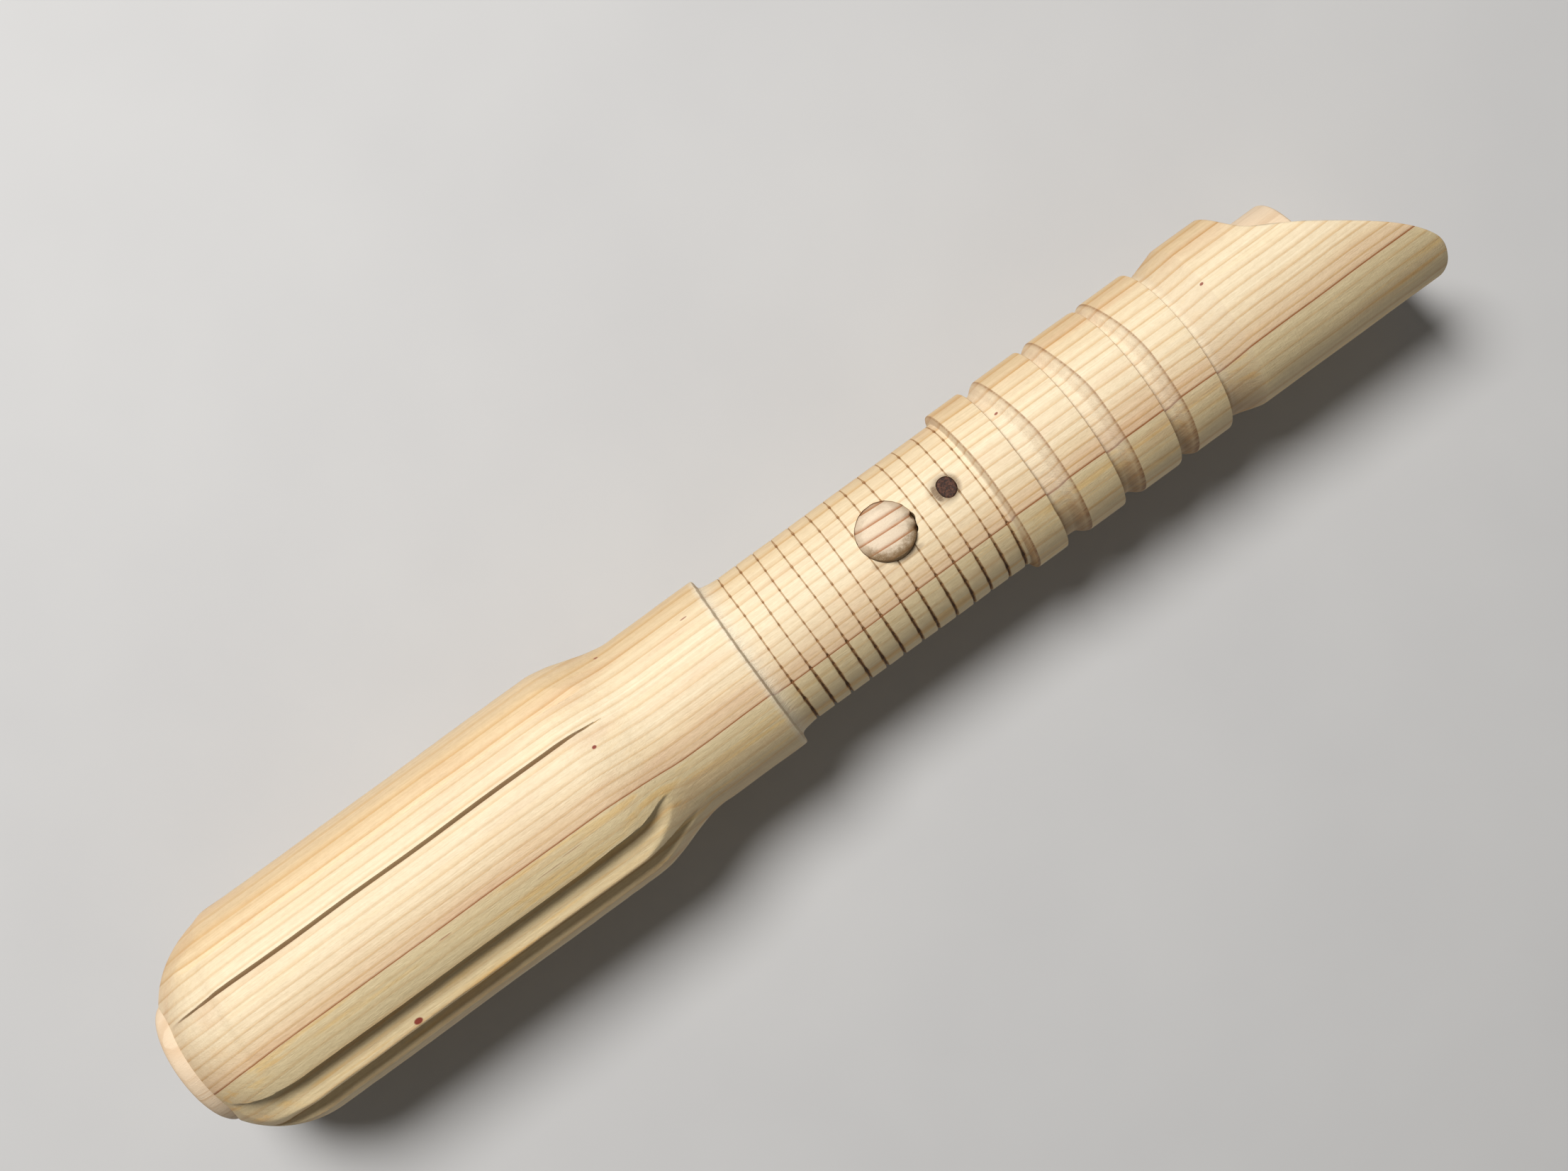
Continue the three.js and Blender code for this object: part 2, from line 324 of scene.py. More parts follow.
def mouth_line():
    """The S-shaped cut as two arrays, lean and place, on a smooth curve through its points."""
    points = np.array(MOUTH_CUT)
    doubled_ends = np.vstack([points[:1], points, points[-1:]])
    leans = []
    places = []
    for i in range(len(points) - 1):
        p0, p1, p2, p3 = doubled_ends[i : i + 4]
        for t in np.linspace(0, 1, 20, endpoint=False):
            point = 0.5 * (2 * p1 + (p2 - p0) * t + (2 * p0 - 5 * p1 + 4 * p2 - p3) * t**2)
            point = point + 0.5 * (3 * p1 - p0 - 3 * p2 + p3) * t**3
            leans.append(point[0])
            places.append(point[1])
    leans.append(points[-1][0])
    places.append(points[-1][1])
    return np.array(leans), np.array(places)


CUT_LEANS, CUT_PLACES = mouth_line()


def cut_place(radius, angle):
    """Where the mouth's cut crosses this radius and angle."""
    return np.interp(radius * np.cos(angle - radians(MOUTH_TURN)), CUT_LEANS, CUT_PLACES)


class Rows:
    """The body's surface as rows of points around it. Brown and tear are 0 to 1, for the material; the brown
    is partly painted shade.
    """

    def __init__(self, angle):
        self.angle = angle
        self.places = []
        self.radii = []
        self.angles = []
        self.grooves = []
        self.tears = []

    def add(self, place, radius, groove=0.0, tear=0.0, angle=None):
        self.angles.append(self.angle if angle is None else angle)
        lists = (self.places, self.radii, self.grooves, self.tears)
        for values, value in zip(lists, (place, radius, groove, tear)):
            values.append(np.broadcast_to(value, self.angle.shape).astype(float))


def add_dome(rows):
    """The domed butt, from the seam around the core out to the grip, with a faint facet on its +Y side."""
    depth = flute_depths(rows.angle)
    narrow = flute_depths(rows.angle, flutes_with(NARROW_FLUTE))
    right = flute_depths(rows.angle, flutes_with(RIGHT_FLUTE))
    follow = np.where(right + narrow > 0, UPPER_DOME_FOLLOW, DOME_FOLLOW)
    start = math.asin(DOME_INNER / GRIP_RADIUS)
    for turn in np.linspace(start, math.pi / 2, 40)[:-1]:
        level = DOME_CENTRE + 0.5 * DOME_CUT_BACK - GRIP_RADIUS * math.cos(turn)
        angle = carved_angle(level, rows.angle, 1 / math.sin(turn))
        place = dome_centre(angle) - GRIP_RADIUS * math.cos(turn)
        radius = GRIP_RADIUS * math.sin(turn) + 0.07 * ripple(place, angle, 7, 14.0, 5)
        radius = radius - 0.3 * ease((18.5 - place) / 2.2) * ease((np.cos(angle + radians(50)) - 0.1) / 0.5)
        deep = depth - narrow * (1 - ease((place - 5.0) / 3.5))
        carved = carved_radius(place, angle, deep) - follow * (GRIP_RADIUS - radius)
        carved = np.maximum(carved, FLUTE_INNER)
        radius = np.where(deep > 0, np.minimum(radius, carved), radius)
        # Painted shade in the narrow flutes' bottoms, fading out towards the seam.
        line = narrow_flute_shade(rows.angle) * ease((place - 4.0) / 4.0)
        rows.add(place, radius, line, 0.5 * ease((6.0 - place) / 5.0), angle)


def carved_radius(place, angle, depth):
    """The radius that the flutes leave, with light tool chatter in them."""
    return GRIP_RADIUS + 0.2 - (depth + 0.2) * (1 + 0.02 * ripple(place, angle, 60, 9.0, 3))


def add_grip(rows):
    """The fluted grip and the S-curve down to the collar."""
    depth = flute_depths(rows.angle)
    for place in np.append(np.linspace(GRIP_START, 86, 28), np.linspace(87.5, OGEE_END, 36)):
        angle = carved_angle(place, rows.angle)
        radius = ogee_radius(place) + 0.05 * ripple(place, angle, 8, 38.0, 4)
        radius = radius - 0.02 + 0.02 * ripple(place, angle, 9, 6.0, 9)
        carved = np.minimum(radius, carved_radius(place, angle, depth))
        # Painted shade in the narrow flutes' bottoms, fading out on the S-curve.
        line = narrow_flute_shade(rows.angle) * ease((104.0 - place) / 3.0)
        rows.add(place, np.where(depth > 0, carved, radius), line, 0.0, angle)


def add_collar(rows):
    angle = rows.angle
    for place in np.linspace(OGEE_END + 2, SHOULDER - 1.2, 9):
        rows.add(place, COLLAR_RADIUS + 0.02 * ripple(place, angle, 10, 20.0, 3))
    # The shoulder's edge is broken by torn fibres, with a few chips.
    chips = ease((ripple(0.0, angle, 11, 1.0, 9) - 1.0) / 0.9)
    rough = 0.035 * ripple(0.0, angle, 12, 1.0, 45, 30)
    edge = SHOULDER - 0.1 + rough - 0.2 * chips
    for offset, radius, tear in SHOULDER_STEPS:
        uneven = 0.04 * tear * ripple(offset, angle, 13, 2.0, 50, 24)
        rows.add(edge + offset, radius + uneven, tear=tear)


def add_grooves(rows):
    """The V-grooves: wider and deeper on the low side (-Y). Their brown is partly real, across dark growth
    lines, and partly painted shade, growing with depth and on the low side.
    """
    angle = rows.angle
    low_side = ease((np.sin(angle) - 0.1) / 0.75)
    for number in range(GROOVES):
        middle = FIRST_GROOVE + number * GROOVE_PITCH + 0.16 * math.sin(2.4 * number)
        dots = growth_dark(middle, angle, WAIST_RADIUS)
        middle = middle + 0.06 * ripple(0.0, angle, 100 + number, 1.0, 5)
        uneven = 1 + 0.12 * ripple(0.0, angle, 130 + number, 1.0, 40, 24)
        half = (0.14 + 0.23 * low_side + 0.17 * dots) * uneven
        depth = GROOVE_DEPTH * (0.55 + 0.5 * low_side + 0.3 * dots) * (0.6 + 0.4 * uneven)
        land = WAIST_RADIUS + 0.02 * ripple(middle, angle, 14, 30.0, 3)
        for offset, deep in GROOVE_STEPS:
            # Brown: painted shade with depth and on the low side, and the wood's own darkening across the
            # latewood.
            brown = min(1.0, 1.3 * deep) * (0.28 + 0.85 * low_side + 0.56 * np.clip(dots / 0.4, 0, 1))
            rows.add(middle + offset * half, land - deep * depth, groove=np.clip(brown, 0, 1))


def ring_steps(start, end, flank):
    """Place, radius, tear and brown across one ring: a brown line at its edge, and painted shade at the foot
    of its mouth side. The butt side slopes up to a crisp edge.
    """
    high = RING_RADIUS
    low = WAIST_RADIUS
    rise = high - low
    return [
        (start - 1.15 * flank, low - 0.02, 0.3, 0.0), (start - flank, low, 0.4, 0.05),
        (start - 0.85 * flank, low + 0.06 * rise, 0.5, 0.0),
        (start - 0.68 * flank, low + 0.22 * rise, 0.5, 0.0),
        (start - 0.5 * flank, low + 0.47 * rise, 0.5, 0.0),
        (start - 0.3 * flank, low + 0.72 * rise, 0.4, 0.0), (start - 0.1 * flank, high - 0.17, 0.3, 0.5),
        (start, high - 0.06, 0.2, 1.1), (start + 0.16, high - 0.02, 0.0, 1.0), (start + 0.3, high, 0.0, 0.0),
        (start * 0.5 + end * 0.5, high, 0.0, 0.0), (end - 0.5, high, 0.0, 0.0),
        (end - 0.14, high - 0.03, 0.0, 0.0), (end - 0.03, high - 0.16, 0.0, 0.1),
        (end, high - 0.5, 0.2, 0.2), (end + 0.02, low + 0.3, 0.3, 0.3), (end + 0.06, low - 0.02, 0.5, 0.5),
        (end + 0.5, low - 0.05, 0.5, 0.1), (end + 1.0, low - 0.03, 0.4, 0.0),
    ]


def add_rings(rows):
    """The four raised rings. Their flanks carry pale torn fibres, kept to the high side as painted light,
    and brown painted shade on the low side.
    """
    angle = rows.angle
    last_groove = FIRST_GROOVE + (GROOVES - 1) * GROOVE_PITCH
    high_side = ease((-np.sin(angle) - 0.1) / 0.9)
    low_side = ease((np.sin(angle) - 0.46) / 0.32)
    for number, (start, end) in enumerate(RINGS):
        chips = ease((ripple(0.0, angle, 150 + number, 1.0, 11) - 1.15) / 0.8)
        edge = start + RING_EDGE_SHIFT * (1 - 4.5 * high_side)
        edge = edge + 0.06 * ripple(0.0, angle, 180 + number, 1.0, 7)
        flank = RING_FLANK
        # The first ring stands close to the last groove.
        if number == 0:
            edge = start + RING_EDGE_SHIFT * (1 - 1.5 * high_side)
            flank = edge - last_groove - 0.85
        for place, radius, tear, brown in ring_steps(edge, end, flank):
            uneven = 0.05 * tear * ripple(radius, angle, 160 + number, 3.0, 50, 24)
            top = 1.0 if radius > RING_RADIUS - 0.2 and np.all(place > end - 1) else 0.0
            moved = place - 0.12 * top * chips
            # Painted shade: brown on the flanks and edge lines, stronger on the low side. The pale torn tone
            # fades there, so it stays on the lit high side as painted light.
            shade = 1.15 * tear * low_side
            torn = tear * (1 - 0.85 * low_side)
            brown = np.clip(brown * (0.65 + 0.2 * low_side) + shade, 0, 0.82)
            rows.add(moved, radius + uneven - 0.1 * top * chips, brown, torn)


def add_mouth(rows):
    """The flared end, its sawn mouth, and the bore from there back to the butt."""
    angle = rows.angle
    low_side = ease((np.sin(angle) - 0.46) / 0.32)
    flare = [
        (-0.8, 0.0, 0.4, 0.05), (-0.1, 0.02, 0.3, 0.15), (0.3, 0.08, 0.15, 0.12), (2.0, 0.33, 0.1, 0.10),
        (4.0, 0.66, 0.1, 0.10), (5.9, 0.97, 0.1, 0.10), (6.2, 1.0, 0.0, 0.0),
    ]
    for offset, share, tear, brown in flare:
        radius = WAIST_RADIUS + (MOUTH_RADIUS - WAIST_RADIUS) * share
        radius = radius + 0.02 * ripple(offset, angle, 15, 5.0, 8)
        # Painted shade: brown on the flare's low side.
        shade = 0.3 * low_side * (1 - share**4)
        rows.add(FLARE_START + offset, radius, brown + shade, tear)
    start = FLARE_END + 0.7
    end = cut_place(MOUTH_RADIUS, angle) - 0.35
    for t in np.linspace(0, 1, 34):
        place = start + (end - start) * t
        rows.add(place, MOUTH_RADIUS + 0.02 * ripple(place, angle, 16, 24.0, 3))
    # A softened outer edge, the sawn end face, a softened inner edge, and the bore back to the butt.
    for back, in_from_edge in ((0.16, 0.05), (0.05, 0.16)):
        radius = MOUTH_RADIUS - in_from_edge
        rows.add(cut_place(radius, angle) - back, radius)
    for share in np.linspace(0.07, 0.93, 8):
        radius = MOUTH_RADIUS + (BORE_RADIUS - MOUTH_RADIUS) * share
        rows.add(cut_place(radius, angle) + 0.04 * ripple(8 * share, angle, 17, 4.0, 12), radius)
    inner = cut_place(BORE_RADIUS, angle) - 0.2
    rows.add(inner + 0.15, BORE_RADIUS + 0.08)
    rows.add(inner, BORE_RADIUS)
    for t in np.linspace(0.1, 1, 10):
        rows.add(inner + (HOLLOW_PLACE - inner) * t, BORE_RADIUS)
    for place in (200.0, 150.0, 100.0, 50.0, 12.0):
        rows.add(place, BORE_RADIUS)
    seam = dome_centre(angle) - math.sqrt(GRIP_RADIUS**2 - BORE_RADIUS**2)
    rows.add(seam + 0.35, BORE_RADIUS)


def linked_object(name, data):
    made = bpy.data.objects.new(name, data)
    bpy.context.scene.collection.objects.link(made)
    return made


def mesh_object(name, points, faces):
    """A mesh object from points given as place, across and height."""
    coordinates = np.empty_like(points)
    coordinates[:, 0] = (BUTT_X + points[:, 0]) * MM
    coordinates[:, 1] = -points[:, 1] * MM
    coordinates[:, 2] = (AXIS_Z + points[:, 2]) * MM
    mesh = bpy.data.meshes.new(name)
    mesh.from_pydata(coordinates.tolist(), [], faces)
    mesh.validate()
    return linked_object(name, mesh)


def smooth(piece, sharp_from):
    """Shades the piece smooth, apart from edges sharper than sharp_from degrees."""
    mesh = piece.data
    mesh.polygons.foreach_set("use_smooth", [True] * len(mesh.polygons))
    mesh.set_sharp_from_angle(angle=radians(sharp_from))
    mesh.update()


def wrapped_faces(rows, count, closed):
    """Quads between rows of points that close around the axis. If closed, the last row joins the first."""
    faces = []
    for row in range(rows if closed else rows - 1):
        here = row * count
        above = ((row + 1) % rows) * count
        for i in range(count):
            j = (i + 1) % count
            faces.append((here + i, here + j, above + j, above + i))
    return faces


def capped_faces(rows, count):
    """Quads between rows, and a fan at each end to the two points that follow the rows."""
    faces = wrapped_faces(rows, count, False)
    first_tip = rows * count
    last_row = (rows - 1) * count
    for i in range(count):
        j = (i + 1) % count
        faces.append((first_tip, j, i))
        faces.append((first_tip + 1, last_row + i, last_row + j))
    return faces


def set_attribute(piece, name, values):
    """A number for each point of the mesh, for its material to read."""
    attribute = piece.data.attributes.new(name, "FLOAT", "POINT")
    attribute.data.foreach_set("value", np.asarray(values, np.float32))


def turned_wood_body():
    rows = Rows(columns(400))
    add_dome(rows)
    add_grip(rows)
    add_collar(rows)
    add_grooves(rows)
    add_rings(rows)
    add_mouth(rows)
    place = np.concatenate(rows.places)
    radius = np.concatenate(rows.radii)
    angle = np.concatenate(rows.angles)
    points = np.column_stack([place, radius * np.sin(angle), radius * np.cos(angle)])
    faces = wrapped_faces(len(rows.places), len(rows.angle), True)
    piece = mesh_object("turned_wood_body", points, faces)
    set_attribute(piece, "wander", grain_wander(place, angle) + dome_wander(place, angle, radius))
    set_attribute(piece, "groove", np.concatenate(rows.grooves))
    set_attribute(piece, "tear", np.concatenate(rows.tears))
    return piece


# ---- dowels and cutters


def lathe(name, profile, count, wobble):
    """A closed solid around the handle's axis. wobble(place, angle) is added to each radius."""
    angle = np.linspace(-math.pi, math.pi, count, endpoint=False)
    points = []
    for place, radius in profile:
        wide = radius + wobble(place, angle) * min(1.0, radius / 3.0)
        points.append(np.column_stack([np.full(count, place), wide * np.sin(angle), wide * np.cos(angle)]))
    points.append([[profile[0][0], 0, 0], [profile[-1][0], 0, 0]])
    return mesh_object(name, np.vstack(points), capped_faces(len(profile), count))


def cross_solid(name, place, profile, count, wobble):
    """A closed solid standing out at the pegs' angle. The profile is (distance from the axis, radius)."""
    turn = np.linspace(0, 2 * math.pi, count, endpoint=False)
    tilt = radians(PEG_ANGLE)
    points = []

    def stand(distance, along, aside):
        across = distance * math.sin(tilt) + aside * math.cos(tilt)
        height = distance * math.cos(tilt) - aside * math.sin(tilt)
        return np.column_stack([place + along, across, height])

    for distance, radius in profile:
        wide = radius + wobble(distance, turn)
        points.append(stand(distance, wide * np.cos(turn), wide * np.sin(turn)))
    middle = np.zeros(1)
    points.append(stand(profile[0][0], middle, middle))
    points.append(stand(profile[-1][0], middle, middle))
    faces = [face[::-1] for face in capped_faces(len(profile), count)]
    return mesh_object(name, np.vstack(points), faces)


def button_notches(turn):
    """How deep the torn notches are on the mouth's side of the button."""
    notches = 0.0
    for middle, depth, width in BUTTON_NOTCHES:
        notches = notches + depth * np.exp(-((apart(turn, radians(middle)) / radians(width)) ** 4))
    return notches


def button_gap(_, turn):
    """How much wider the button's hole is than the button. The button gives way by the notches too."""
    return 0.025 + 0.5 * button_notches(turn) + 0.015 * ripple(0.0, turn, 22, 1.0, 22)


def pin_oval(turn):
    """How much the pin and its hole are stretched around the body."""
    return PIN_STRETCH * np.sin(turn) ** 2


def pin_gap(_, turn):
    return pin_oval(turn) + 0.03 + 0.02 * ripple(0.0, turn, 23, 1.0, 7)


def cut(piece, cutters):
    """Takes the cutters out of the piece and removes them."""
    for cutter in cutters:
        taken = piece.modifiers.new("hole", "BOOLEAN")
        taken.operation = "DIFFERENCE"
        taken.solver = "EXACT"
        taken.object = cutter
    bpy.context.view_layer.update()
    shown = piece.evaluated_get(bpy.context.evaluated_depsgraph_get())
    mesh = bpy.data.meshes.new_from_object(shown)
    piece.modifiers.clear()
    piece.data = mesh
    for cutter in cutters:
        bpy.data.objects.remove(cutter)


def hole_cutters(name):
    button = [(BUTTON_FOOT - 0.1, BUTTON_RADIUS), (GRIP_RADIUS, BUTTON_RADIUS)]
    pin = [(PIN_FOOT - 0.1, PIN_RADIUS), (GRIP_RADIUS, PIN_RADIUS)]
    return [
        cross_solid(name + "_button_hole", BUTTON_PLACE, button, 120, button_gap),
        cross_solid(name + "_pin_hole", PIN_PLACE, pin, 56, pin_gap),
    ]


def core_piece():
    """The core dowel: a sawn and slightly domed butt end, and a softened stub behind the mouth."""
    profile = []
    for share in np.linspace(0.02, 0.98, 14):
        turn = share * BUTT_ROUNDING
        profile.append((BUTT_CROWN * (1 - math.cos(turn)), BUTT_CROWN * math.sin(turn)))
    profile += [(place, CORE_RADIUS - below) for place, below in BUTT_RIM]
    profile += [(place, CORE_RADIUS) for place in (6.0, 30.0, 80.0, 130.0, 180.0, 230.0, 255.0, 262.0)]
    for turn in np.linspace(0, math.pi / 2, 6):
        place = CORE_LENGTH - CORE_EDGE * (1 - math.sin(turn))
        profile.append((place, CORE_RADIUS - CORE_EDGE * (1 - math.cos(turn))))
    for share in np.linspace(0.9, 0.03, 10):
        profile.append((CORE_LENGTH, share * CORE_RADIUS))

    def rough(place, angle):
        return 0.02 * ripple(place, angle, 31, 5.0, 12)

    return lathe("core_dowel_ends", profile, 180, rough)


def button_piece():
    """The button: a dowel end with a hand-rounded rim, a little flat on top, with bites by the torn hole."""
    profile = [(BUTTON_FOOT, 0.1), (BUTTON_FOOT, BUTTON_RADIUS - 0.4), (BUTTON_FOOT + 0.4, BUTTON_RADIUS)]
    # The side runs past the rim and folds back to it. It is a known fault.
    profile += [(distance, BUTTON_RADIUS) for distance in (12.0, 15.0, 16.0, 16.8, 17.4, BUTTON_RIM)]
    rise = BUTTON_TOP - BUTTON_RIM
    for share in np.append(np.linspace(0.985, 0.55, 18), np.linspace(0.5, 0.03, 10)):
        profile.append((BUTTON_RIM + rise * (1 - share**2.2) ** 0.75, share * BUTTON_RADIUS))

    def rough(distance, turn):
        bite = button_notches(turn) * ease((distance - 15.0) / 1.0)
        return 0.04 * ripple(distance, turn, 24, 1.6, 26, 20) - 0.03 - bite

    return cross_solid("domed_button_peg", BUTTON_PLACE, profile, 144, rough)


def pin_piece():
    """The dark pin: a broken-off plug end, rough and slightly sunken."""
    profile = [(PIN_FOOT, 0.1), (PIN_FOOT, PIN_RADIUS - 0.1), (PIN_FOOT + 0.1, PIN_RADIUS)]
    profile += [(PIN_TOP - 0.35, PIN_RADIUS), (PIN_TOP - 0.12, PIN_RADIUS - 0.1)]
    for share in np.linspace(0.85, 0.06, 9):
        profile.append((PIN_TOP + 0.05 * math.cos(9 * share), share * PIN_RADIUS))

    def rough(distance, turn):
        return pin_oval(turn) + 0.04 * ripple(distance, turn, 25, 0.5, 12, 16) - 0.02

    return cross_solid("dark_pin_plug", PIN_PLACE, profile, 64, rough)


# ---- materials

LATEWOOD = (0.62, 0.38, 0.15)
STRONG_LATEWOOD = (0.36, 0.14, 0.045)
# Pale torn fibres, also painted light where they brighten the ring flanks.
TORN_PALE_AND_LIGHT = (0.90, 0.83, 0.68)
TORN_DARK = (0.44, 0.34, 0.23)
# Brown of the grooves and flanks, partly painted shade, and its darkest, painted shade deep in the
# V-grooves.
GROOVE_BROWN_AND_SHADE = (0.28, 0.13, 0.045)
DEEPEST_BROWN_AND_SHADE = (0.09, 0.045, 0.018)
RESIN = (0.25, 0.04, 0.022)
SMEAR_BROWN = (0.20, 0.125, 0.065)
# Dirt and painted shade on the button's rim.
BUTTON_DIRT_AND_SHADE = (0.24, 0.145, 0.06)


class Shader:
    """A material's nodes, with one short call for each kind that the woods use."""

    def __init__(self, name):
        self.material = bpy.data.materials.new(name)
        self.material.use_nodes = True
        self.tree = self.material.node_tree
        self.surface = self.tree.nodes["Principled BSDF"]

    def node(self, kind, values, output=0, **settings):
        made = self.tree.nodes.new(kind)
        for setting, value in settings.items():
            setattr(made, setting, value)
        for socket, value in values.items():
            self.plug(made.inputs[socket], value)
        return made.outputs[output]

    def plug(self, socket, value):
        if isinstance(value, bpy.types.NodeSocket):
            self.tree.links.new(value, socket)
        else:
            socket.default_value = value

    def attribute(self, name):
        return self.node("ShaderNodeAttribute", {}, 2, attribute_name=name)

    def math(self, operation, first, second=0.0):
        return self.node("ShaderNodeMath", {0: first, 1: second}, operation=operation)

    def plus(self, first, second):
        return self.math("ADD", first, second)

    def times(self, first, second):
        return self.math("MULTIPLY", first, second)

    def total(self, parts):
        """The sum of (value, weight) pairs."""
        result = 0.0
        for value, weight in parts:
            result = self.plus(result, self.times(value, weight))
        return result

    def vector(self, operation, first, second=(0, 0, 0)):
        output = 1 if operation in ("LENGTH", "DOT_PRODUCT") else 0
        return self.node("ShaderNodeVectorMath", {0: first, 1: second}, output, operation=operation)

    def along(self, vector):
        """A vector's part along X."""
        return self.node("ShaderNodeSeparateXYZ", {0: vector}, 0)

    def limit(self, value):
        """The value, kept from 0 to 1."""
        return self.node("ShaderNodeClamp", {0: value})

    def share(self, value, low, high):
        """0 at low and 1 at high, straight between."""
        return self.node("ShaderNodeMapRange", {"Value": value, "From Min": low, "From Max": high})

    def step(self, value, low, high):
        """0 below low and 1 above high, smooth between."""
        values = {"Value": value, "From Min": low, "From Max": high}
        return self.node("ShaderNodeMapRange", values, interpolation_type="SMOOTHSTEP")

    def scale(self, value, low, high):
        """Stretches 0 to 1 onto low to high."""
        return self.node("ShaderNodeMapRange", {"Value": value, "To Min": low, "To Max": high})

    def noise(self, vector, scale, detail, roughness):
        values = {"Vector": vector, "Scale": scale, "Detail": detail, "Roughness": roughness}
        return self.node("ShaderNodeTexNoise", values)

    def mix(self, factor, first, second, blend="MIX"):
        made = self.tree.nodes.new("ShaderNodeMix")
        made.data_type = "RGBA"
        made.blend_type = blend
        self.plug(made.inputs[0], factor)
        self.plug(made.inputs[6], colour(first))
        self.plug(made.inputs[7], colour(second))
        return made.outputs[2]

    def tint(self, wood, shade, share=1.0):
        """Multiplies the wood by a shade, or a share of the way there."""
        return self.mix(share, wood, shade, "MULTIPLY")

    def curve(self, value, points, low, high):
        """A line through (value, result) points, straight between them. Results go from 0 to 1."""
        made = self.tree.nodes.new("ShaderNodeFloatCurve")
        line = made.mapping.curves[0]
        scaled = [((x - low) / (high - low), y) for x, y in points]
        line.points[0].location = scaled[0]
        line.points[1].location = scaled[-1]
        for x, y in scaled[1:-1]:
            line.points.new(x, y)
        for point in line.points:
            point.handle_type = "VECTOR"
        made.mapping.update()
        self.plug(made.inputs["Value"], self.share(value, low, high))
        return made.outputs[0]

    def ramp(self, value, stops):
        """Colours across a 0 to 1 value."""
        made = self.tree.nodes.new("ShaderNodeValToRGB")
        elements = made.color_ramp.elements
        elements[0].position, elements[0].color = stops[0][0], colour(stops[0][1])
        elements[1].position, elements[1].color = stops[-1][0], colour(stops[-1][1])
        for place, shade in stops[1:-1]:
            elements.new(place).color = colour(shade)
        self.plug(made.inputs[0], value)
        return made.outputs[0]

    def finish(self, wood, rough, relief, strength, depth):
        """The material with this colour and roughness, and a relief of this depth in metres."""
        bump = self.node("ShaderNodeBump", {"Height": relief, "Strength": strength, "Distance": depth})
        for name, value in (("Base Color", wood), ("Roughness", rough), ("Normal", bump)):
            self.plug(self.surface.inputs[name], value)
        return self.material


def colour(value):
    """Three numbers as an opaque colour. A socket passes through."""
    if isinstance(value, tuple) and len(value) == 3:
        return (*value, 1.0)
    return value


def wood_position(shader):
    """Object coordinates as (place, across, height) in millimetres."""
    coordinates = shader.node("ShaderNodeTexCoord", {}, "Object")
    scaled = shader.vector("MULTIPLY", coordinates, (1000.0, -1000.0, 1000.0))
    return shader.vector("SUBTRACT", scaled, (BUTT_X, 0.0, AXIS_Z))


def grained(shader, position, along, across, detail=1.0, roughness=0.5):
    """Noise that runs with the grain, scaled per millimetre along it and across it."""
    stretched = shader.vector("MULTIPLY", position, (along, across, across))
    return shader.noise(stretched, 1.0, detail, roughness)


def distance_from_pith(shader, position, pith):
    """Distance from the pith's line, less the pith's own distance from the axis."""
    flat = shader.vector("MULTIPLY", shader.vector("SUBTRACT", position, (0.0, *pith)), (0.0, 1.0, 1.0))
    return shader.math("SUBTRACT", shader.vector("LENGTH", flat), math.hypot(*pith))


def wandering(shader, position):
    """A slow wandering of the growth rings along a dowel, in millimetres."""
    slow = grained(shader, position, 0.012, 0.05)
    quick = grained(shader, position, 0.05, 0.35)
    return shader.plus(shader.scale(slow, -0.25, 0.25), shader.scale(quick, -0.2, 0.2))


def growth_lines(shader, growth, lines):
    """How dark the latewood is, from 0 to 1, where each (distance, darkness) pair ends one year's growth."""
    low = lines[0][0]
    high = lines[-1][0]
    years = len(lines) - 1
    count = shader.curve(growth, [(line[0], i / years) for i, line in enumerate(lines)], low, high)
    count = shader.times(count, float(years))
    year = shader.math("FLOOR", count)
    phase = shader.math("SUBTRACT", count, year)
    darkness = [(i + 0.5, lines[i + 1][1]) for i in range(years)]
    strength = shader.curve(shader.plus(year, 0.5), darkness, 0.5, years - 0.5)
    rising = shader.math("POWER", shader.step(phase, 0.25, 0.97), 5.5)
    falling = shader.math("SUBTRACT", 1.0, shader.step(phase, 0.965, 0.999))
    band = shader.times(rising, falling)
    return band, strength, phase


def spot(shader, position, place, angle, radius, length, width):
    """1 inside a small spot that is long with the grain, falling to 0 at its edge."""
    turn = radians(angle)
    middle = (place, radius * math.sin(turn), radius * math.cos(turn))
    reach = shader.vector("SUBTRACT", position, middle)
    reach = shader.vector("MULTIPLY", reach, (2.0 / length, 2.0 / width, 2.0 / width))
    return shader.math("SUBTRACT", 1.0, shader.step(shader.vector("LENGTH", reach), 0.75, 1.15))


def facing(shader, axis):
    """How far the surface faces along an axis, from 0 to 1. Along the grain it shows end grain."""
    normal = shader.node("ShaderNodeTexCoord", {}, "Normal")
    return shader.math("ABSOLUTE", shader.vector("DOT_PRODUCT", normal, axis))


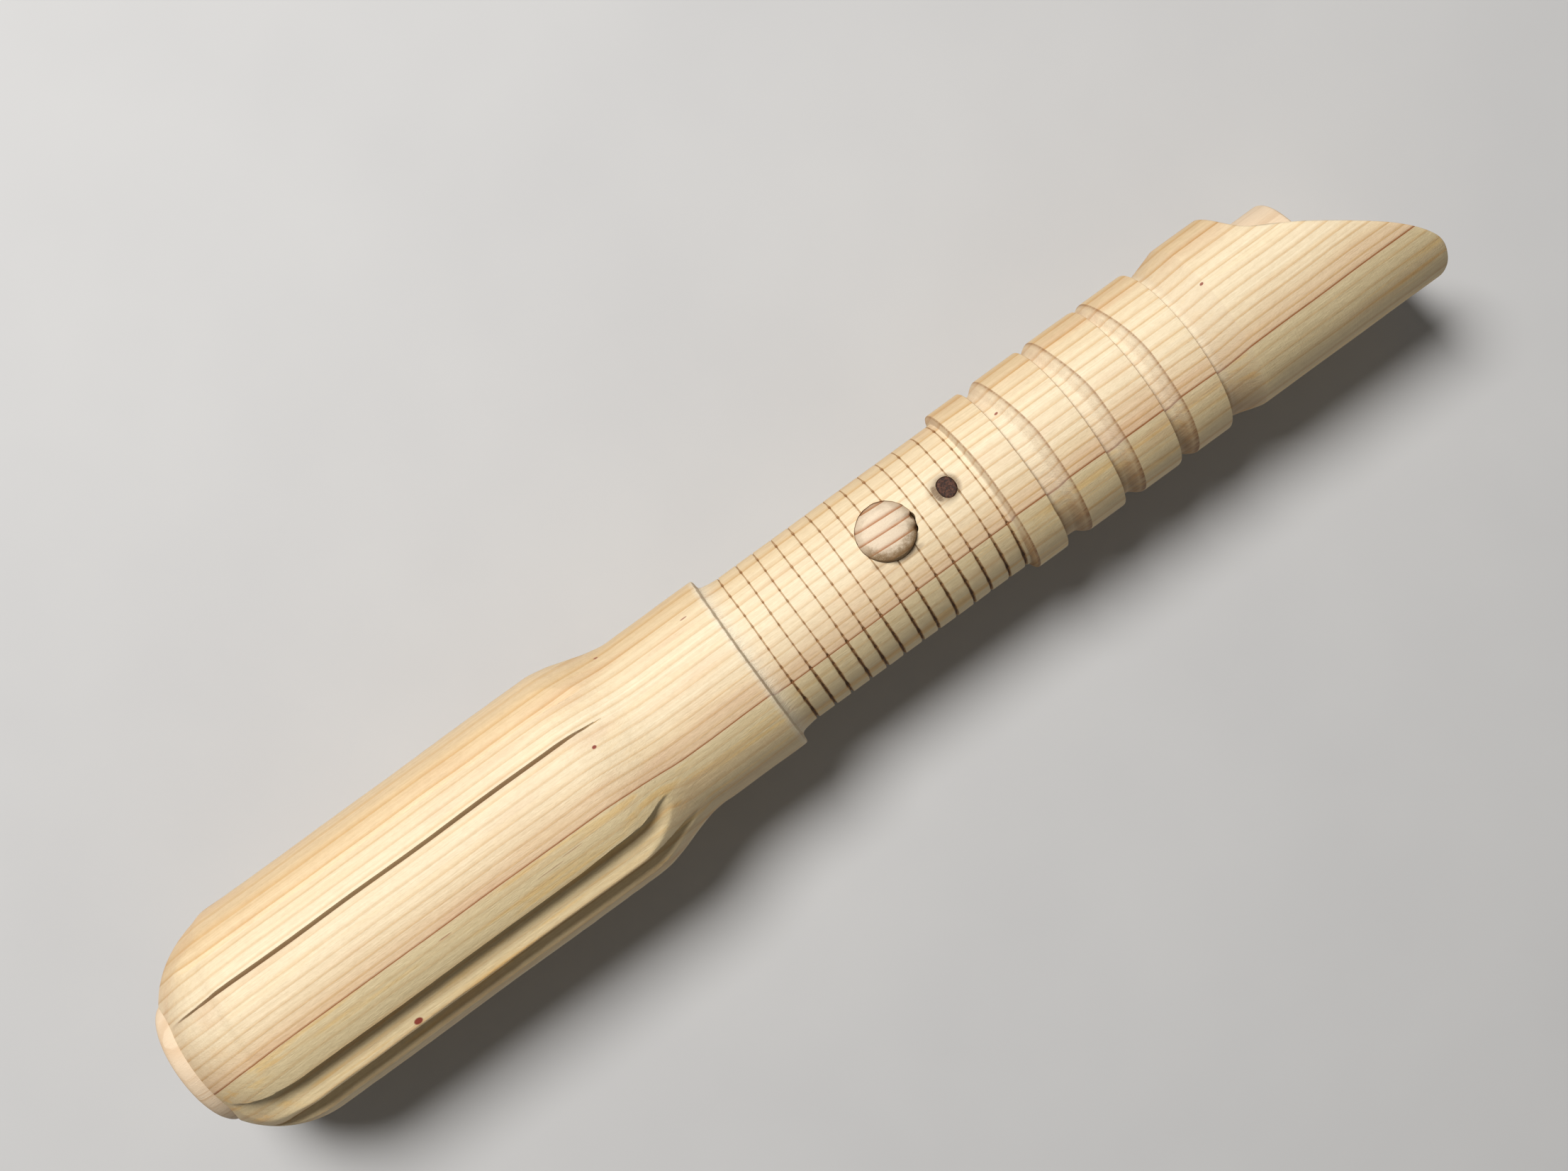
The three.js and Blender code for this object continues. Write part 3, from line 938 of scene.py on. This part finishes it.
def pine_body():
    """The body's wood. Its mesh carries the wander of the growth rings, the brown of the grooves and flanks
    with painted shade, and the tears.
    """
    shader = Shader("pine")
    position = wood_position(shader)
    wander, groove, tear = [shader.attribute(name) for name in ("wander", "groove", "tear")]
    growth = shader.plus(distance_from_pith(shader, position, (-PITH_DISTANCE, 0.0)), wander)
    band, strength, phase = growth_lines(shader, growth, GROWTH_LINES)
    place = shader.along(position)
    layered = {0: shader.times(growth, 2.6), 1: shader.times(place, 0.012)}
    layers = shader.noise(shader.node("ShaderNodeCombineXYZ", layered), 1.0, 3.0, 0.6)
    fibres = grained(shader, position, 0.10, 3.4, 3.0, 0.65)
    fuzz = grained(shader, position, 1.3, 6.5, 3.0, 0.75)
    patches = grained(shader, position, 0.03, 0.16, 2.0)
    pebbles = grained(shader, position, 0.55, 1.1, 2.0, 0.6)
    along_grain = facing(shader, (1.0, 0.0, 0.0))
    slant = shader.step(along_grain, 0.3, 0.8)
    end_grain = shader.step(along_grain, 0.6, 0.95)

    low, high = GROWTH_LINES[0][0], GROWTH_LINES[-1][0]
    stops = [((distance - low) / (high - low), tone) for distance, tone in WOOD_TONES]
    wood = shader.ramp(shader.share(growth, low, high), stops)

    # Latewood lines, broken up by the fibres, deeper on end grain, on torn wood and from the rings on.
    broken = shader.scale(fibres, 0.55, 2.1)
    dark = shader.times(shader.times(band, strength), broken)
    deeper = shader.plus(0.82, shader.total([(end_grain, 0.8), (tear, 0.9)]))
    deeper = shader.times(deeper, shader.scale(shader.step(place, 190.0, 192.0), 1.0, 1.35))
    dark = shader.times(dark, deeper)
    crisp = shader.times(shader.step(phase, 0.88, 0.94), shader.step(strength, 0.7, 0.95))
    falling = shader.math("SUBTRACT", 1.0, shader.step(phase, 0.97, 0.999))
    dark = shader.plus(dark, shader.times(crisp, falling))
    late = shader.mix(shader.step(strength, 0.6, 1.0), LATEWOOD, STRONG_LATEWOOD)
    wood = shader.mix(shader.limit(dark), wood, late)

    # Thin layers within each year, fine streaks, fuzz and soft patches.
    wood = shader.tint(wood, shader.mix(layers, (0.86, 0.80, 0.72), (1.10, 1.13, 1.18)))
    wood = shader.tint(wood, shader.mix(fibres, (0.92, 0.90, 0.86), (1.06, 1.07, 1.09)))
    wood = shader.tint(wood, shader.mix(fuzz, (0.88, 0.86, 0.83), (1.09, 1.10, 1.12)))
    wood = shader.tint(wood, shader.mix(pebbles, (0.91, 0.89, 0.86), (1.07, 1.09, 1.12)))
    wood = shader.tint(wood, (0.95, 0.89, 0.87), shader.step(patches, 0.5, 0.75))

    # Orange-yellow streaks below the strongest line, and faint ones elsewhere.
    streaks = grained(shader, position, 0.022, 0.42, 2.0, 0.6)
    streaks = shader.step(streaks, 0.53, 0.68)
    below = shader.scale(shader.step(growth, 9.0, 9.6), 0.15, 0.85)
    wood = shader.tint(wood, (1.06, 0.93, 0.70), shader.times(streaks, below))

    # Slanting cuts and end grain are a little darker and pinker.
    wood = shader.tint(wood, (0.96, 0.91, 0.86), slant)
    speckle = grained(shader, position, 5.0, 5.0, 2.0, 0.7)
    grain = shader.mix(speckle, (0.84, 0.80, 0.74), (1.08, 1.06, 1.04))
    wood = shader.tint(wood, grain, end_grain)

    # Torn fibres: paler wood with thin dark hatching along the grain. On the ring flanks' high side the
    # paleness is also painted light.
    hatch = grained(shader, position, 0.35, 4.2, 2.0, 0.6)
    torn = shader.times(tear, shader.step(hatch, 0.45, 0.68))
    wood = shader.mix(shader.times(tear, 0.55), wood, TORN_PALE_AND_LIGHT)
    wood = shader.mix(shader.times(torn, 0.4), wood, TORN_DARK)

    # The V-grooves, narrow flutes, ring flanks and flare are brown, partly the wood's own colour and partly
    # painted shade.
    streaky = shader.times(groove, shader.scale(shader.step(layers, 0.36, 0.62), 0.75, 1.2))
    wood = shader.mix(shader.limit(streaky), wood, GROOVE_BROWN_AND_SHADE)
    # Darkest painted shade: the V-grooves' bottoms on the low side and where they cross the latewood.
    deepest = shader.times(shader.step(groove, 0.85, 1.0), 0.75)
    wood = shader.mix(deepest, wood, DEEPEST_BROWN_AND_SHADE)

    for speck_place, angle, radius, length, width, darkness in SPECKS:
        mark = spot(shader, position, speck_place, angle, radius, length, width)
        wood = shader.mix(shader.times(mark, darkness), wood, RESIN)

    for smear_place, angle, length, width, darkness in SMEARS:
        mark = spot(shader, position, smear_place, angle, WAIST_RADIUS, length, width)
        uneven = shader.times(mark, shader.scale(fuzz, 0.1, 1.5))
        wood = shader.mix(shader.times(uneven, darkness), wood, SMEAR_BROWN)

    # Relief: fibres, raised latewood, turning marks across the grain, and the torn places.
    marks = grained(shader, position, 3.0, 0.05)
    torn = shader.times(tear, hatch)
    relief = [(fibres, 0.5), (fuzz, 0.7), (marks, 0.3), (phase, 0.25), (torn, 1.3), (pebbles, 0.8)]
    rough = shader.plus(shader.scale(fibres, 0.55, 0.72), shader.times(end_grain, 0.12))
    return shader.finish(wood, rough, shader.total(relief), 0.7, 0.00014)


def dowel_wood(name, pith, lines, early, late, end_axis, lean):
    """A dowel's wood: growth lines around its pith that lean along X, and end grain along end_axis."""
    shader = Shader(name)
    position = wood_position(shader)
    growth = shader.plus(distance_from_pith(shader, position, pith), wandering(shader, position))
    from_button = shader.math("SUBTRACT", shader.along(position), BUTTON_PLACE)
    growth = shader.plus(growth, shader.times(from_button, -lean))
    band, strength, _ = growth_lines(shader, growth, lines)
    fibres = grained(shader, position, 0.3, 3.0, 3.0, 0.65)
    speckle = grained(shader, position, 5.0, 5.0, 3.0, 0.75)
    end_grain = shader.step(facing(shader, end_axis), 0.1, 0.8)
    dark = shader.times(shader.times(band, strength), shader.scale(fibres, 0.6, 1.3))
    wood = shader.mix(shader.limit(dark), early, late)
    wood = shader.tint(wood, shader.mix(fibres, (0.88, 0.85, 0.80), (1.06, 1.07, 1.09)))
    grain = shader.mix(speckle, (0.80, 0.74, 0.68), (1.10, 1.09, 1.08))
    wood = shader.tint(wood, grain, end_grain)
    return shader, position, wood, speckle, fibres


def finish_dowel(shader, wood, speckle, fibres):
    relief = shader.total([(fibres, 0.6), (speckle, 0.7)])
    return shader.finish(wood, shader.scale(fibres, 0.58, 0.78), relief, 0.7, 0.00016)


def core_wood():
    lines = [(-24.0 + 1.7 * i + 0.5 * math.sin(2.1 * i), 0.55 + 0.3 * math.sin(1.7 * i)) for i in range(30)]
    shader, _, wood, speckle, fibres = dowel_wood(
        "core_pine", (28.0, -46.0), lines, (0.76, 0.60, 0.43), (0.60, 0.40, 0.23), (1.0, 0.0, 0.0), 0.0
    )
    return finish_dowel(shader, wood, speckle, fibres)


def button_wood():
    """The button shows end grain: red-brown lines straight across it, and dirt with painted shade around its
    rim, most on its low side.
    """
    tilt = radians(PEG_ANGLE)
    outward = (0.0, -math.sin(tilt), math.cos(tilt))
    pith = (-90.0, 20.0)
    middle = BUTTON_TOP * math.sin(tilt) - pith[0] - math.hypot(*pith)
    lines = [(middle + 2.53 * (i - 6) + 0.88, 1.0) for i in range(12)]
    shader, position, wood, speckle, fibres = dowel_wood(
        "button_pine", pith, lines, (0.81, 0.695, 0.55), (0.44, 0.18, 0.065), outward, 0.06
    )
    from_middle = shader.vector("SUBTRACT", position, (BUTTON_PLACE, 0.0, 0.0))
    aside = shader.vector("DOT_PRODUCT", from_middle, (0.0, math.cos(tilt), -math.sin(tilt)))
    flat = {0: shader.along(from_middle), 1: aside}
    from_axis = shader.vector("LENGTH", shader.node("ShaderNodeCombineXYZ", flat))
    # Dirt and painted shade: darker towards the rim all round, most on the low side, away from the light.
    clumps = grained(shader, position, 0.9, 0.9, 3.0, 0.65)
    reach = shader.plus(from_axis, shader.scale(clumps, -1.6, 1.6))
    rim = shader.step(reach, 3.6, 5.6)
    shaded_low_rim = shader.step(shader.plus(aside, shader.scale(clumps, -1.0, 1.0)), -0.5, 3.6)
    shaded_low_rim = shader.scale(shaded_low_rim, 0.3, 1.0)
    dirt_and_shade = shader.times(shader.times(rim, shaded_low_rim), shader.scale(speckle, 0.3, 1.5))
    wood = shader.mix(shader.limit(dirt_and_shade), wood, BUTTON_DIRT_AND_SHADE)
    return finish_dowel(shader, wood, speckle, fibres)


def pin_wood():
    shader = Shader("dark_pin_wood")
    position = wood_position(shader)
    clumps = grained(shader, position, 2.4, 2.4, 3.0, 0.7)
    wood = shader.mix(shader.step(clumps, 0.38, 0.7), (0.025, 0.010, 0.006), (0.135, 0.052, 0.03))
    return shader.finish(wood, shader.scale(clumps, 0.6, 0.9), clumps, 0.8, 0.0003)


def floor_finish():
    shader = Shader("pale_floor")
    position = wood_position(shader)
    soft = shader.noise(position, 0.02, 3.0, 0.5)
    tone = shader.mix(soft, (0.50, 0.50, 0.51), (0.56, 0.56, 0.565))
    shader.plug(shader.surface.inputs["Base Color"], tone)
    shader.surface.inputs["Roughness"].default_value = 0.85
    return shader.material


# ---- stage

# The camera looks almost straight down, with the handle slanting across the picture.
CAMERA_EYE = (-3.9, 8.1, 387.5)
CAMERA_TARGET = (3.3, 8.1, 23.5)
PICTURE_SLANT = 36.05  # degrees that the handle rises to the right in the picture
CAMERA_LENS = 42.31


def add_camera():
    data = bpy.data.cameras.new("camera")
    data.lens = CAMERA_LENS
    data.sensor_width = 36.0
    data.clip_start = 0.01
    camera = linked_object("camera", data)
    eye = Vector(CAMERA_EYE) * MM
    look = (Vector(CAMERA_TARGET) * MM - eye).normalized()
    up = Vector((math.sin(radians(PICTURE_SLANT)), math.cos(radians(PICTURE_SLANT)), 0))
    right = look.cross(up).normalized()
    turned = Matrix((right, right.cross(look), -look)).transposed()
    camera.matrix_world = Matrix.Translation(eye) @ turned.to_4x4()
    bpy.context.scene.camera = camera


def add_area_light(name, direction, distance, size, watts, tint):
    data = bpy.data.lights.new(name, "AREA")
    data.shape = "DISK"
    data.size = size
    data.energy = watts
    data.color = tint
    light = linked_object(name, data)
    away = Vector(direction).normalized()
    light.location = away * distance
    light.rotation_mode = "QUATERNION"
    light.rotation_quaternion = away.to_track_quat("Z", "Y")


def add_stage():
    add_area_light("key", (-0.12, 0.49, 0.86), 1.1, 0.46, 14.4, (1.0, 0.985, 0.955))
    add_area_light("fill", (0.5, -0.7, 0.5), 1.5, 1.4, 1.35, (1.0, 0.94, 0.85))
    world = bpy.data.worlds.new("studio")
    world.use_nodes = True
    background = world.node_tree.nodes["Background"]
    background.inputs["Color"].default_value = (0.90, 0.88, 0.84, 1.0)
    background.inputs["Strength"].default_value = 0.10
    bpy.context.scene.world = world
    bpy.ops.mesh.primitive_plane_add(size=30.0, location=(0, 0, 0))
    floor = bpy.context.object
    floor.name = "floor"
    floor.data.materials.append(floor_finish())
    bpy.context.scene.view_settings.view_transform = "Standard"


def finish_piece(piece, material, node, sharp_from):
    smooth(piece, sharp_from)
    piece.data.materials.clear()
    piece.data.materials.append(material)
    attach(piece, "root")
    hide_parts(node)


add_camera()
add_stage()

body = turned_wood_body()
core = core_piece()
cut(body, hole_cutters("body"))
cut(core, hole_cutters("core"))
finish_piece(body, pine_body(), "turned_body", 33)
finish_piece(core, core_wood(), "core_dowel", 40)
finish_piece(button_piece(), button_wood(), "button_peg", 45)
finish_piece(pin_piece(), pin_wood(), "dark_pin", 50)
